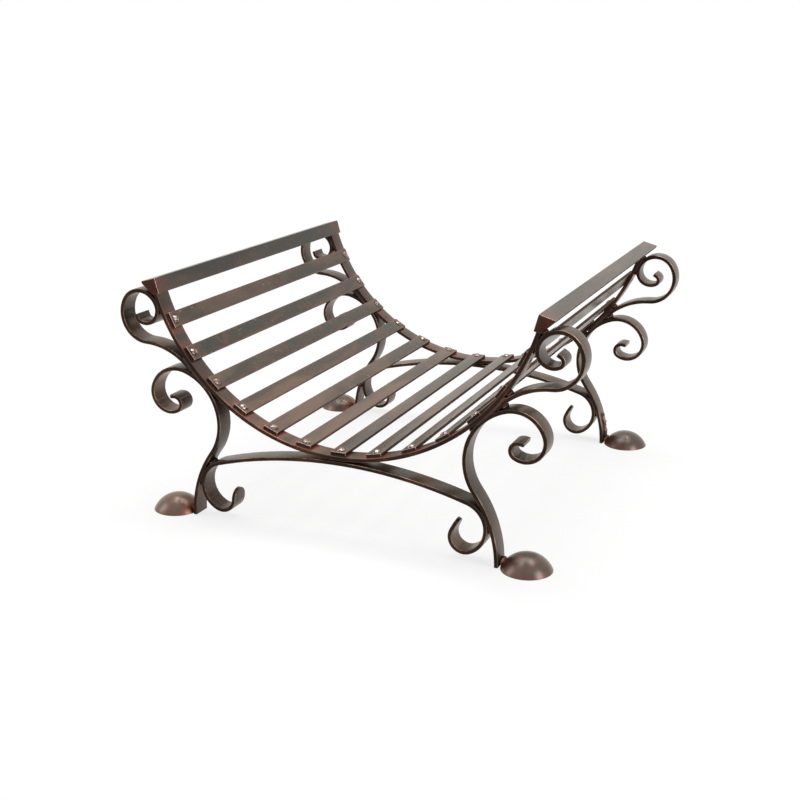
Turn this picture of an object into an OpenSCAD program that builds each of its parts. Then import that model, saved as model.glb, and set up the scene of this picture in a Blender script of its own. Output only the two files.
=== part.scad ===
// Log holder of wrought flat bar: two scrolled side frames carry a bed of riveted slats.
// X runs across the cradle, Y along the slats and Z up. The origin is on the floor, under the middle.

/* [Flat bar of the side frames] */
// Width of the bar
bar_w = 25; // [20:1:30]
// Thickness of the bar
bar_t = 5; // [4:0.5:6.5]

/* [Rails] */
// Distance between the middles of the front and rear frames
frame_spacing = 480; // [300:10:700]
// Radius of the rails' inner face
rail_r = 255; // [245:1:265]
// Height of the rails' lowest point above the floor
rail_h = 103; // [98:1:108]
// Angle that a rail climbs on each side of its lowest point
rail_climb = 76; // [74:0.5:80]

/* [Slats] */
// Number of slats
slat_count = 13; // [7:2:13]
// Distance between slats, measured along the rails
slat_pitch = 47.5; // [30:0.5:48]
// Width of a slat
slat_w = 20; // [14:1:26]
// Thickness of a slat
slat_t = 4; // [3:0.5:6]
// How far a slat stops short of the rails' outer sides
slat_inset = 4.5; // [2:0.5:8]

/* [Rivets] */
// Diameter of the shank
rivet_d = 6; // [4:0.5:8]
// Diameter of the round head
rivet_head_d = 10; // [9:0.5:13]
// Height of the round head
rivet_head_h = 3.2; // [2:0.2:4.2]

/* [Top angles] */
// Width of each flange
angle_w = 20; // [16:1:26]
// Thickness of the flanges
angle_t = 3; // [2:0.5:4]
// Height of the triangular end plates
plate_h = 14; // [10:1:16]
// Thickness of the end plates
plate_t = 3; // [2:0.5:6]

/* [Legs] */
// Distance between the left and right legs at the floor
leg_spacing = 408; // [396:1:420]
// Radius of the sweep from the floor to the waist
leg_sweep_r = 147; // [135:1:160]
// Radius of the waist, which leans on the rail
leg_waist_r = 67; // [61:1:73]
// Radius over the top of the lower scroll
lower_top_r = 38; // [35:0.5:41]
// Radius under the lower scroll
lower_under_r = 24; // [21.5:0.5:25.5]
// Radius of the lower scroll's inner curl
lower_curl_r = 9.5; // [8:0.5:11]
// Turn of the inner curl in the left scrolls
lower_left_turn = 155; // [110:5:180]
// Turn of the inner curl in the right scrolls
lower_right_turn = 160; // [80:5:180]

/* [Upper scrolls] */
// Radius where the bar peels off the rail
upper_peel_r = 86; // [78:1:96]
// Radius of the outer sweep
upper_sweep_r = 34.5; // [31:0.5:37]
// Radius over the top, up to the rail
upper_top_r = 25.5; // [23.5:0.5:27.5]
// Radius under the curl
upper_under_r = 18; // [16.5:0.5:19.5]
// Radius of the inner curl
upper_curl_r = 6.5; // [5.5:0.5:8.5]
// Turn of the inner curl in the left scrolls
upper_left_turn = 45; // [30:5:150]
// Turn of the inner curl in the right scrolls
upper_right_turn = 120; // [20:5:150]
// Straight length at the square-cut ends of the lower and upper scrolls
scroll_tip_l = 5; // [3:0.5:8]

/* [Arched stretchers] */
// Gap between a rail and the crown of its arch, filled by a weld
arch_gap = 1.5; // [1:0.1:4]
// Radius of the shoulder that lies against the leg
arch_shoulder_r = 32.5; // [29.5:0.5:35.5]
// Radius of the curl
arch_curl_r = 17.5; // [15.5:0.5:19.5]
// Turn of the curl at an arch's left end
arch_left_turn = 110; // [90:5:150]
// Turn of the curl at an arch's right end
arch_right_turn = 140; // [100:5:150]

/* [Dome feet] */
// Diameter of a dome at the floor
dome_d = 62; // [50:1:72]
// Height of a dome
dome_h = 20; // [16:1:24]
// Thickness of the pressed sheet
dome_wall = 2.5; // [1.5:0.5:4]

/* [Weld beads] */
// Radius of a bead's face
bead_r = 2.8; // [2.4:0.1:3.4]
// How far a bead stops short of the plates at the bar's sides
bead_inset = 0.5; // [0.5:0.5:3]
// Length of the weld between a rail and its arch
crown_weld = 24; // [14:1:34]

/* [Hidden] */
$fn = 360;
// Clearance under a seated flat, around a rivet and between bars that lean on each other
fit = 0.05;
// Direction of a rail's lowest point from its centre
straight_down = -90;
// Direction of an arch's crown from its centre
crown_up = 90;
// Half of the turn over which the crown weld is cut back by the rail and by the arch
crown_turn = 10;
// Straight length between an arch's last bend and its round end
tongue_l = 1;
// Radius that bends a straight length so slightly that it stays straight
straight_r = 2000;
// Bend joints of the lower scroll, each the direction from the bend's centre
lower_joints = [108, 18, -120];
// Bend joints of the upper scroll
upper_joints = [33.5, 298];
// Joint between the shoulder and the curl of the arch
arch_joint = -66;
// Direction from the leg's sweep centre to the point where the arch leans on it
arch_lean = 23.5;
// Share of a bead's radius that stands clear of the two faces it joins
bead_clear = 0.55;
// Gap between the start of an upper scroll and the leg beside it
wedge_gap = 0.5;
// How far a cutting shape reaches past what it cuts
past = 1;
// How far the two halves of a plane reach from the bend that they cut
reach = 600;
// Share of the bar's thickness that the key across a joint takes up
key_share = 0.8;

rail_out = rail_r + bar_t;
rail_z = rail_h + rail_out;
rail_c = [0, rail_z];
lean_r = rail_out + bar_t / 2 + fit;
rail_bend = [rail_c, rail_out - bar_t / 2, straight_down - rail_climb, straight_down + rail_climb];
outer_l = frame_spacing + bar_w;
slat_l = outer_l - 2 * slat_inset;
slat_turn = slat_pitch / rail_r * 180 / PI;
slat_seat = sqrt(rail_r ^ 2 - (slat_w / 2) ^ 2) - fit;
angle_seat = sqrt(rail_r ^ 2 - (angle_w / 2) ^ 2) - fit;
angle_top = angle_w / 2 - angle_t;
angle_turn = rail_climb - asin((angle_top - fit) / rail_out);
dome_r = ((dome_d / 2) ^ 2 + dome_h ^ 2) / (2 * dome_h);
dome_x = leg_spacing / 2 + bar_t / 2 + fit + dome_d / 2;
bead_gap_r = bead_r * bead_clear;
bead_l = bar_w - 2 * (plate_t + bead_inset);

// Unit vector at an angle from +X towards +Z
function dir(a) = [cos(a), sin(a)];
// Unit vector at an angle from straight down towards +X
function climb(a) = [sin(a), -cos(a)];
// Angle of a vector from +X towards +Z
function turn_of(v) = atan2(v.y, v.x);
// The same angle, brought into the turn that starts at low
function after(a, low) = a < low ? after(a + 360, low) : a >= low + 360 ? after(a - 360, low) : a;
// A length to the nearest hundredth
function to_fine(l) = round(100 * l) / 100;
// Point at r0 from c0 and r1 from c1, on the left (1) or right (-1) of the way from c0 to c1
function meet(c0, r0, c1, r1, side) =
    let (l = norm(c1 - c0))
    let (e = (c1 - c0) / l)
    let (a = (r0 ^ 2 - r1 ^ 2 + l ^ 2) / (2 * l))
    c0 + a * e + side * sqrt(r0 ^ 2 - a ^ 2) * [-e.y, e.x];

// A leg is a row of tangent bends, each [centre, radius, start, end], from the floor up
sweep_c = [leg_spacing / 2 - leg_sweep_r, 0];
waist_c = meet(rail_c, lean_r + leg_waist_r, sweep_c, leg_waist_r + leg_sweep_r, 1);
waist_turn = turn_of(waist_c - sweep_c);
leg_touch = turn_of(waist_c - rail_c) + 90;
lower_top_c = waist_c + (leg_waist_r - lower_top_r) * dir(lower_joints[0]);
lower_under_c = lower_top_c + (lower_top_r - lower_under_r) * dir(lower_joints[1]);
lower_curl_c = lower_under_c + (lower_under_r - lower_curl_r) * dir(lower_joints[2]);
leg_bends = [
    [sweep_c, leg_sweep_r, 0, waist_turn],
    [waist_c, leg_waist_r, waist_turn + 180, lower_joints[0]],
    [lower_top_c, lower_top_r, lower_joints[0], lower_joints[1]],
    [lower_under_c, lower_under_r, lower_joints[1], lower_joints[2]],
];
lower_curls = [
    for (curl = [lower_left_turn, lower_right_turn])
        [lower_curl_c, lower_curl_r, lower_joints[2], lower_joints[2] - curl]
];

// An upper scroll starts in the wedge between rail and leg, and its loop leans on the rail again
wedge_l = sqrt(2 * (bar_t + wedge_gap) / (1 / lean_r + 1 / leg_waist_r));
upper_start = leg_touch + wedge_l / lean_r * 180 / PI;
peel_c = rail_c + (lean_r + upper_peel_r) * climb(upper_start);
upper_step = (upper_sweep_r - upper_top_r) * dir(upper_joints[0]);
upper_top_c = meet(rail_c, lean_r + upper_top_r, peel_c + upper_step, upper_peel_r + upper_sweep_r, 1);
upper_sweep_c = upper_top_c - upper_step;
upper_touch = turn_of(rail_c - upper_top_c);
upper_under_c = upper_top_c + (upper_top_r - upper_under_r) * dir(upper_touch);
upper_curl_c = upper_under_c + (upper_under_r - upper_curl_r) * dir(upper_joints[1]);
peel_start = after(turn_of(rail_c - peel_c), 0);
peel_end = after(turn_of(upper_sweep_c - peel_c), 0);
upper_bends = [
    [peel_c, upper_peel_r, peel_start, peel_end],
    [upper_sweep_c, upper_sweep_r, peel_end - 180, upper_joints[0]],
    [upper_top_c, upper_top_r, upper_joints[0], upper_touch],
    [upper_under_c, upper_under_r, upper_touch, upper_joints[1]],
];
upper_curls = [
    for (curl = [upper_left_turn, upper_right_turn])
        [upper_curl_c, upper_curl_r, upper_joints[1], upper_joints[1] + curl]
];

// An arch is one wide bend between two shoulders that lie against the legs' inner faces
shoulder_c = sweep_c + (leg_sweep_r - bar_t - fit - arch_shoulder_r) * dir(arch_lean);
arch_fall = rail_h - arch_gap - bar_t / 2 - shoulder_c.y;
arch_level = shoulder_c.x ^ 2 + arch_fall ^ 2 - arch_shoulder_r ^ 2;
arch_r = to_fine(arch_level / (2 * (arch_fall - arch_shoulder_r)));
arch_c = [0, shoulder_c.y - sqrt((arch_r - arch_shoulder_r) ^ 2 - shoulder_c.x ^ 2)];
arch_turn = turn_of(shoulder_c - arch_c);
arch_curl_c = shoulder_c + (arch_shoulder_r - arch_curl_r) * dir(arch_joint);
arch_bends = [
    [arch_c, arch_r, crown_up, arch_turn],
    [shoulder_c, arch_shoulder_r, arch_turn, arch_joint],
];
arch_curls = [
    for (curl = [arch_left_turn, arch_right_turn])
        [arch_curl_c, arch_curl_r, arch_joint, arch_joint - curl]
];
crown_bend = [arch_c, arch_r, crown_up - crown_turn, crown_up + crown_turn];
// Straight length that the round end of an arch is cut from
arch_end_l = tongue_l + bar_w / 2 + past;

ENDS = ["front", "rear"];
SIDES = ["left", "right"];
CORNERS = [for (end = ENDS, side = SIDES) str(end, "_", side)];
SLATS = [for (i = [1:slat_count]) str(i < 10 ? "slat_0" : "slat_", i)];
NODES = concat(
    [for (end = ENDS, part = ["_rail", "_arch", "_rivets", "_rail_welds", "_arch_welds"]) str(end, part)],
    [for (side = SIDES) str(side, "_top_angle")],
    [for (corner = CORNERS, part = ["_leg", "_upper_scroll", "_end_plate", "_dome_foot"]) str(corner, part)],
    SLATS,
    ["foot_welds"]
);
node = "all";

function end_sign(i) = i == 0 ? -1 : 1;
function is_counter(bend) = bend[3] > bend[2];
function is_shown(name) = node == "all" || node == name;

// Puts a flat shape at a point in two steps, coarse and fine, so that bends meet exactly
module at(p) {
    coarse = [to_fine(p.x), to_fine(p.y)];
    translate(coarse)
        translate(p - coarse)
            children();
}

// Half of the plane, cut off across a bend at an angle and kept towards larger (1) or smaller (-1) angles
module half_plane(bend, angle, way) {
    p = bend[0] + bend[1] * dir(angle);
    across = reach * dir(angle);
    along = way * reach * dir(angle + 90);
    polygon([p - across, p + across, p + across + along, p - across + along]);
}

// Side view of one bend [centre, radius, start, end], in the plane of the frame
module bend_view(bend) {
    way = is_counter(bend) ? 1 : -1;
    intersection() {
        difference() {
            at(bend[0])
                circle(bend[1] + bar_t / 2);
            at(bend[0])
                circle(bend[1] - bar_t / 2);
        }
        half_plane(bend, bend[2], way);
        half_plane(bend, bend[3], -way);
    }
}

// Flat bar whose side view is given, standing in the middle of a frame
module flat_bar() {
    rotate([90, 0, 0])
        linear_extrude(bar_w, center = true)
            children();
}

// A straight length after a last bend, drawn as a very wide bend
function straight_after(bend, long) =
    let (turn = long / straight_r * 180 / PI)
    [
        bend[0] + (bend[1] - straight_r) * dir(bend[3]),
        straight_r,
        bend[3],
        bend[3] + (is_counter(bend) ? turn : -turn),
    ];

// What is cut off around the half-round end of an arch
module round_end(bend) {
    p = bend[0] + bend[1] * dir(bend[3]);
    end_r = bar_w / 2 + fit;
    long = end_r + 2 * past;
    wide = bar_w + 2 * past;
    thick = bar_t + past;
    translate([p.x, 0, p.y])
        rotate([0, (is_counter(bend) ? -90 : 90) - bend[3], 0])
            translate([tongue_l, 0, 0])
                difference() {
                    translate([0, -wide / 2, -thick / 2])
                        cube([long, wide, thick]);
                    cylinder(r = end_r, h = thick + 2 * past, center = true);
                }
}

// A small square inside the bar, across a joint, that ties the bends on both sides together
module key(bend, angle) {
    p = bend[0] + bend[1] * dir(angle);
    across = key_share * bar_t / 2 * dir(angle);
    along = fit * dir(angle + 90);
    polygon([p - across - along, p + across - along, p + across + along, p - across + along]);
}

// Side view of a bar: its row of bends, a last one and the straight length after that
module scroll_view(bends, last, long) {
    for (bend = concat(bends, [last])) {
        bend_view(bend);
        key(bend, bend[3]);
    }
    bend_view(straight_after(last, long));
}

// A bar bent through a row of bends and a last one, with a square-cut end
module scroll_bar(bends, last) {
    flat_bar()
        scroll_view(bends, last, scroll_tip_l);
}

// Puts a piece at an angle up the rails: X along the rail, Z to the rails' centre, from that centre
module on_rail(angle) {
    translate([0, 0, rail_z])
        rotate([0, -angle, 0])
            children();
}

// Puts a piece in the front or rear frame
module in_frame(end) {
    translate([0, end_sign(end) * frame_spacing / 2, 0])
        children();
}

// Puts a piece on the left or right side
module on_side(side) {
    mirror([side == 0 ? 1 : 0, 0, 0])
        children();
}

function slat_angle(i) = (i - (slat_count - 1) / 2) * slat_turn;

module rail(end) {
    color("#5a4038")
        in_frame(end)
            difference() {
                flat_bar()
                    bend_view(rail_bend);
                for (i = [0:slat_count - 1])
                    on_rail(slat_angle(i))
                        translate([0, 0, -rail_out - past])
                            cylinder(d = rivet_d + 2 * fit, h = bar_t + 2 * past);
            }
}

module slat(i) {
    color("#77706a")
        on_rail(slat_angle(i))
            difference() {
                translate([-slat_w / 2, -slat_l / 2, -slat_seat])
                    cube([slat_w, slat_l, slat_t]);
                for (end = [0, 1])
                    in_frame(end)
                        translate([0, 0, -slat_seat - past])
                            cylinder(d = rivet_d + 2 * fit, h = slat_t + 2 * past);
            }
}

// A round-head rivet through slat and rail, its tail flush with the rail's outer face
module rivet() {
    head_r = ((rivet_head_d / 2) ^ 2 + rivet_head_h ^ 2) / (2 * rivet_head_h);
    translate([0, 0, -rail_out + fit])
        cylinder(d = rivet_d, h = rail_out - slat_seat + slat_t - fit);
    translate([0, 0, slat_t - slat_seat])
        intersection() {
            translate([0, 0, rivet_head_h - head_r])
                sphere(head_r);
            cylinder(r = rivet_head_d, h = rivet_head_h + past);
        }
}

module rivets(end) {
    color("#8a7a74")
        in_frame(end)
            for (i = [0:slat_count - 1])
                on_rail(slat_angle(i))
                    rivet();
}

// Angle iron: one flange against the rails' inner faces, the other over the rails' ends
module top_angle(side) {
    color("#7a736c")
        on_side(side)
            on_rail(angle_turn)
                rotate([90, 0, 0])
                    linear_extrude(outer_l, center = true)
                        polygon([
                            [-angle_w / 2, -angle_seat],
                            [-angle_w / 2, angle_t - angle_seat],
                            [angle_w / 2, angle_t - angle_seat],
                            [angle_w / 2, angle_t - angle_seat - angle_w],
                            [angle_top, angle_t - angle_seat - angle_w],
                            [angle_top, -angle_seat],
                        ]);
}

// The triangular plate that closes the angle between its top flange and the rail
module end_plate(end, side) {
    color("#4a2e22")
        on_side(side)
            on_rail(angle_turn)
                translate([0, end_sign(end) * (outer_l - plate_t) / 2, 0])
                    rotate([90, 0, 0])
                        linear_extrude(plate_t, center = true)
                            polygon([
                                [angle_top - fit, -rail_out - fit],
                                [angle_top - fit, angle_t - angle_seat - angle_w],
                                [angle_top - fit - plate_h, -rail_out - fit],
                            ]);
}

module upper_scroll(end, side) {
    color("#4e433d")
        in_frame(end)
            on_side(side)
                scroll_bar(upper_bends, upper_curls[side]);
}

module leg(end, side) {
    color("#55483f")
        in_frame(end)
            on_side(side)
                scroll_bar(leg_bends, lower_curls[side]);
}

module arch(end) {
    color("#6a6058")
        in_frame(end)
            difference() {
                flat_bar() {
                    for (side = [0, 1])
                        mirror([side == 0 ? 1 : 0, 0])
                            scroll_view(arch_bends, arch_curls[side], arch_end_l);
                    key(crown_bend, crown_up);
                }
                for (side = [0, 1])
                    on_side(side)
                        round_end(arch_curls[side]);
            }
}

// A ball of the dome's outer or inner face
module dome_ball(inset) {
    translate([dome_x, 0, dome_h - dome_r])
        sphere(dome_r - inset);
}

// A pressed dome that stands on its open rim, against the leg's outer face
module dome_foot(end, side) {
    color("#4f403a")
        in_frame(end)
            on_side(side)
                difference() {
                    intersection() {
                        dome_ball(0);
                        translate([dome_x, 0, 0])
                            cylinder(r = dome_r + past, h = dome_h + past);
                    }
                    dome_ball(dome_wall);
                }
}

// A straight bead across the bar, before its neighbours are cut away
module bead(p) {
    translate([p.x, 0, p.y])
        rotate([90, 0, 0])
            cylinder(r = bead_r, h = bead_l, center = true);
}

// Each bead lies in a wedge, where a small circle touches both faces
function outside(bend) = bend[1] + bar_t / 2 + bead_gap_r;
function inside(bend) = bend[1] - bar_t / 2 - bead_gap_r;
rail_side = rail_out + bead_gap_r;
under_waist = meet(rail_c, rail_side, waist_c, outside(leg_bends[1]), -1);
over_peel = meet(rail_c, rail_side, peel_c, outside(upper_bends[0]), 1);
over_leg = meet(lower_top_c, outside(leg_bends[2]), peel_c, inside(upper_bends[0]), 1);
under_loop = meet(rail_c, rail_side, upper_under_c, outside(upper_bends[3]), -1);
over_loop = meet(rail_c, rail_side, upper_top_c, outside(upper_bends[2]), 1);
over_shoulder = meet(sweep_c, inside(leg_bends[0]), shoulder_c, outside(arch_bends[1]), 1);
under_shoulder = meet(sweep_c, inside(leg_bends[0]), shoulder_c, outside(arch_bends[1]), -1);
by_dome = meet(sweep_c, outside(leg_bends[0]), [dome_x, dome_h - dome_r], dome_r + bead_gap_r, 1);

// Beads between a rail, its scrolls and its legs, and the weld over the crown of the arch
module rail_welds(end) {
    color("#6e3d2c")
        in_frame(end) {
            for (side = [0, 1])
                on_side(side)
                    difference() {
                        for (p = [under_waist, over_peel, over_leg, under_loop, over_loop])
                            bead(p);
                        for (bend = concat([rail_bend], leg_bends, upper_bends))
                            flat_bar()
                                bend_view(bend);
                    }
            difference() {
                translate([-crown_weld / 2, -bead_l / 2, rail_h - arch_gap - bar_t / 2])
                    cube([crown_weld, bead_l, arch_gap + bar_t]);
                for (bend = [rail_bend, crown_bend])
                    flat_bar()
                        bend_view(bend);
            }
        }
}

// Beads where the arch leans on the legs
module arch_welds(end) {
    color("#6e4a3c")
        in_frame(end)
            for (side = [0, 1])
                on_side(side)
                    difference() {
                        for (p = [over_shoulder, under_shoulder])
                            bead(p);
                        for (bend = [leg_bends[0], arch_bends[1]])
                            flat_bar()
                                bend_view(bend);
                    }
}

// Beads between each leg and its dome
module foot_welds() {
    color("#7a4030")
        for (end = [0, 1], side = [0, 1])
            in_frame(end)
                on_side(side)
                    difference() {
                        bead(by_dome);
                        flat_bar()
                            bend_view(leg_bends[0]);
                        dome_ball(0);
                    }
}

for (i = [0, 1]) {
    if (is_shown(str(ENDS[i], "_rail"))) rail(i);
    if (is_shown(str(ENDS[i], "_arch"))) arch(i);
    if (is_shown(str(ENDS[i], "_rivets"))) rivets(i);
    if (is_shown(str(ENDS[i], "_rail_welds"))) rail_welds(i);
    if (is_shown(str(ENDS[i], "_arch_welds"))) arch_welds(i);
    if (is_shown(str(SIDES[i], "_top_angle"))) top_angle(i);
}
for (end = [0, 1], side = [0, 1]) {
    if (is_shown(str(CORNERS[2 * end + side], "_leg"))) leg(end, side);
    if (is_shown(str(CORNERS[2 * end + side], "_upper_scroll"))) upper_scroll(end, side);
    if (is_shown(str(CORNERS[2 * end + side], "_end_plate"))) end_plate(end, side);
    if (is_shown(str(CORNERS[2 * end + side], "_dome_foot"))) dome_foot(end, side);
}
for (i = [0:slat_count - 1])
    if (is_shown(SLATS[i])) slat(i);
if (is_shown("foot_welds")) foot_welds();
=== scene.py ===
# %% [markdown]
# # A log holder of wrought flat bar
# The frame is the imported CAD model: rails, slats, scrolls, legs, arches, domes and the small hardware, in
# metres, with X across the cradle, Y along the slats and Z up. Blender adds what a smith's hand and a
# finisher's cloth leave on it: softened edges, hammered rivet heads, rippled welds and a brown patina under
# satin lacquer.

# %% Load the CAD model
import math

import bmesh
import bpy
from mathutils import Matrix, Vector, noise


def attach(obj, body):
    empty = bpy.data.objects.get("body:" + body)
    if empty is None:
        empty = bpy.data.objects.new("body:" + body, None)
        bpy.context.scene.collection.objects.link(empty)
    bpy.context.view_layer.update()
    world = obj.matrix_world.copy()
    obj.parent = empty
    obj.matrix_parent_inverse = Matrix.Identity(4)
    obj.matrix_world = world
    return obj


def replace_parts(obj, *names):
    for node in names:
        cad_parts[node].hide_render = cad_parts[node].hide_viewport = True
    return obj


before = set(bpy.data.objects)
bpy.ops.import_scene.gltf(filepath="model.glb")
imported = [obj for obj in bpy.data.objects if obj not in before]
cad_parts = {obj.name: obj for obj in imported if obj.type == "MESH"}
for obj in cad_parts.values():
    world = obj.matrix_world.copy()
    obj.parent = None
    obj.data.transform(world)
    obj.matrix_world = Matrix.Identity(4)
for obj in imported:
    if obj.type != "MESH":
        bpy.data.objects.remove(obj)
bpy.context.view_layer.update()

# %% [markdown]
# ## Units and colours
# Real sizes are written in millimetres and turned to metres by one factor. Colours are written as sRGB hex
# values, the way a colour picker shows them, and one function turns them to the linear values that the
# shaders expect.

# %% Millimetres and hex colours
MM = 0.001


def linear(hex_colour):
    """sRGB hex to a linear RGBA tuple."""
    channels = [int(hex_colour[i:i + 2], 16) / 255 for i in (1, 3, 5)]
    low = [c / 12.92 for c in channels]
    high = [((c + 0.055) / 1.055) ** 2.4 for c in channels]
    return tuple(a if c <= 0.04045 else b for c, a, b in zip(channels, low, high)) + (1.0,)


print("mid brown in linear values:", [round(c, 3) for c in linear("#5A4A40")])

# %% [markdown]
# ## Camera
# The photograph was taken from the front right, a little above the cradle. Its camera was solved from the
# straight slats, so it is set by its place, its turn and its lens, not by eye.

# %% Place the camera
CAMERA_PLACE_MM = (615.56, -1476.84, 600.78)
CAMERA_YAW_DEGREES = 23.501
CAMERA_PITCH_DEGREES = 17.132
LENS_MM = 54.66
SENSOR_MM = 36.0
SEEN_AS_FAR_AS = 60.0

camera_data = bpy.data.cameras.new("camera")
camera_data.lens = LENS_MM
camera_data.sensor_width = SENSOR_MM
camera_data.clip_end = SEEN_AS_FAR_AS
camera = bpy.data.objects.new("camera", camera_data)
camera.location = Vector(CAMERA_PLACE_MM) * MM
camera.rotation_euler = (math.radians(90 - CAMERA_PITCH_DEGREES), 0, math.radians(CAMERA_YAW_DEGREES))
bpy.context.scene.collection.objects.link(camera)
bpy.context.scene.camera = camera
print("camera stands", round(camera.location.length, 2), "m from the holder's middle")

# %% [markdown]
# ## Node helper
# Every material below is a small node tree. One function adds a node, sets it up and feeds its inputs, so
# each line of a material reads like a sentence: which node, what feeds it, and which setting it has. An
# input may be a number or colour, an output socket, or another node, and then that node's first output is
# meant.

# %% One function that adds a node


def add(tree, kind, inputs=None, **settings):
    """Adds a shader node with its settings, its values and its links."""
    node = tree.nodes.new("ShaderNode" + kind)
    for name, value in settings.items():
        setattr(node, name, value)
    for name, value in (inputs or {}).items():
        source = value.outputs[0] if isinstance(value, bpy.types.Node) else value
        if isinstance(source, bpy.types.NodeSocket):
            tree.links.new(source, node.inputs[name])
        else:
            node.inputs[name].default_value = source
    return node


def start_material(name):
    """A node material with nothing in its tree yet."""
    material = bpy.data.materials.new(name)
    material.use_nodes = True
    material.node_tree.nodes.clear()
    return material, material.node_tree


def set_ramp(ramp_node, stops):
    """Puts colour stops, each (position, hex), on a colour ramp, and returns its node."""
    ramp = ramp_node.color_ramp
    while len(ramp.elements) < len(stops):
        ramp.elements.new(0.5)
    for element, (position, colour) in zip(ramp.elements, stops):
        element.position = position
        element.color = linear(colour)
    return ramp_node


print("helpers ready")

# %% [markdown]
# ## Studio
# The holder stands on a seamless white sweep under broad soft lights. The floor and the world show as plain
# white to the camera and in the metal's reflections, while the light on the holder stays at a plain level.
# A share of the floor is still a real matt surface, so the holder keeps its soft shadow.

# %% Which rays see the plain white


def white_rays(tree):
    """1 for rays that come from the camera, a reflection or a clear surface."""
    path = add(tree, "LightPath").outputs
    glossy, clear = path["Is Glossy Ray"], path["Is Transmission Ray"]
    mirrored = add(tree, "Math", {0: glossy, 1: clear}, operation="MAXIMUM")
    return add(tree, "Math", {0: path["Is Camera Ray"], 1: mirrored}, operation="MAXIMUM")


print("camera, glossy and transmission rays see white")

# %% Floor that fades to white
FLOOR_HALF_WIDTH = 6.0
SHADOW_SHARE = 0.22
FADE_START = 0.45
FADE_END = 1.0
PAPER = "#F4F4F2"
WHITE = "#FFFFFF"

floor_mesh = bpy.data.meshes.new("floor")
half = FLOOR_HALF_WIDTH
floor_corners = [(-half, -half, 0), (half, -half, 0), (half, half, 0), (-half, half, 0)]
floor_mesh.from_pydata(floor_corners, [], [(0, 1, 2, 3)])
floor = bpy.data.objects.new("floor", floor_mesh)
bpy.context.scene.collection.objects.link(floor)

paper, tree = start_material("white_studio_paper")
place = add(tree, "NewGeometry").outputs["Position"]
far = add(tree, "VectorMath", {0: place}, operation="LENGTH").outputs["Value"]
fade = add(
    tree, "MapRange",
    {"Value": far, "From Min": FADE_START, "From Max": FADE_END, "To Min": 1 - SHADOW_SHARE},
)
share = add(tree, "Math", {0: fade, 1: white_rays(tree)}, operation="MULTIPLY")
matt = add(tree, "BsdfDiffuse", {"Color": linear(PAPER)})
white = add(tree, "Emission", {"Color": linear(WHITE), "Strength": 1.0})
add(tree, "OutputMaterial", {"Surface": add(tree, "MixShader", {0: share, 1: matt, 2: white})})
floor_mesh.materials.append(paper)
print("floor:", 2 * FLOOR_HALF_WIDTH, "m across, shadow share", SHADOW_SHARE)

# %% World and lamps
WORLD_LEVEL = 0.34
LIT_POINT = Vector((0, 0, 0.15))
LAMPS = {
    "overhead_box": {"place": (-0.1, 0.3, 2.2), "width": 1.7, "height": 1.1, "watts": 49},
    "left_box": {"place": (-1.9, -1.0, 1.2), "width": 0.8, "height": 1.2, "watts": 9},
    "right_box": {"place": (2.0, -0.6, 1.0), "width": 0.8, "height": 1.2, "watts": 19},
}

world = bpy.data.worlds.new("white_room")
world.use_nodes = True
tree = world.node_tree
tree.nodes.clear()
level = add(tree, "MapRange", {"Value": white_rays(tree), "To Min": WORLD_LEVEL, "To Max": 1.0})
background = add(tree, "Background", {"Color": linear(WHITE), "Strength": level})
add(tree, "OutputWorld", {"Surface": background})
bpy.context.scene.world = world
bpy.context.scene.view_settings.view_transform = "Standard"


def soft_box(name, place, width, height, watts):
    """A rectangular lamp that faces the holder."""
    lamp = bpy.data.lights.new(name, "AREA")
    lamp.shape = "RECTANGLE"
    lamp.size = width
    lamp.size_y = height
    lamp.energy = watts
    holder = bpy.data.objects.new(name, lamp)
    holder.location = place
    holder.rotation_euler = (LIT_POINT - Vector(place)).to_track_quat("-Z", "Y").to_euler()
    bpy.context.scene.collection.objects.link(holder)


for lamp_name, facts in LAMPS.items():
    soft_box(lamp_name, **facts)
print("lamps:", len(LAMPS))

# %% [markdown]
# ## Patinated steel
# The real bars are hot-rolled mild steel. Heat and a brown patina darken them, a cloth rubs the mill scale
# thin, and a satin lacquer seals the surface. To the eye that gives a dark, slightly green brown that turns
# pale grey where it is seen at a low angle. It could be done with a picture of steel, but noise at real
# sizes works on every bar alike and needs no unwrapping. The lacquer is the shader's coat, whose edge-on
# shine makes the pale tops.
#
# Four colours make each patina: cool mill scale, dark scale, rubbed mid brown, and rust. Clouds of them are
# as wide as a hand's wipe, smears as wide as a bar, and specks as small as a chip in the scale.

# %% Colours and sizes of the patina
CLOUD_MM = 75.0
SMEAR_MM = 16.0
SPECK_MM = 3.2
NOISE_ROUGHNESS = 0.6
WIPED_ALONG_Y = (1.3, 0.3, 1.3)
ROLLED_ALONG_Y = (1, 0.25, 1)

PATINA = {
    "slat": {"cool": "#252D27", "dark": "#38322A", "mid": "#604A3C", "rust": "#703B30"},
    "angle": {"cool": "#1E2520", "dark": "#28241F", "mid": "#46382F", "rust": "#5E3529"},
    "frame": {"cool": "#2B251E", "dark": "#37281C", "mid": "#59432F", "rust": "#6A3828"},
    "plate": {"cool": "#33201A", "dark": "#40241A", "mid": "#573023", "rust": "#6C3921"},
    "dome": {"cool": "#33302A", "dark": "#44342B", "mid": "#614738", "rust": "#66362B"},
    # The side colours are darker than the faces': painted shade on the thin sides.
    "rail side in painted shade": {"cool": "#25160F", "dark": "#341D14", "mid": "#4C2C1D", "rust": "#643527"},
    "frame side in painted shade": {"cool": "#1E1511", "dark": "#2D1C15", "mid": "#422A1E", "rust": "#582F22"},
    "slat side in painted shade": {"cool": "#2C241F", "dark": "#362A23", "mid": "#463329", "rust": "#55362B"},
}


def scale_of(size_mm):
    """Noise scale whose patches are about a size in millimetres."""
    return 1 / (size_mm * MM)


print("clouds", CLOUD_MM, "mm, smears", SMEAR_MM, "mm, specks", SPECK_MM, "mm")
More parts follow.
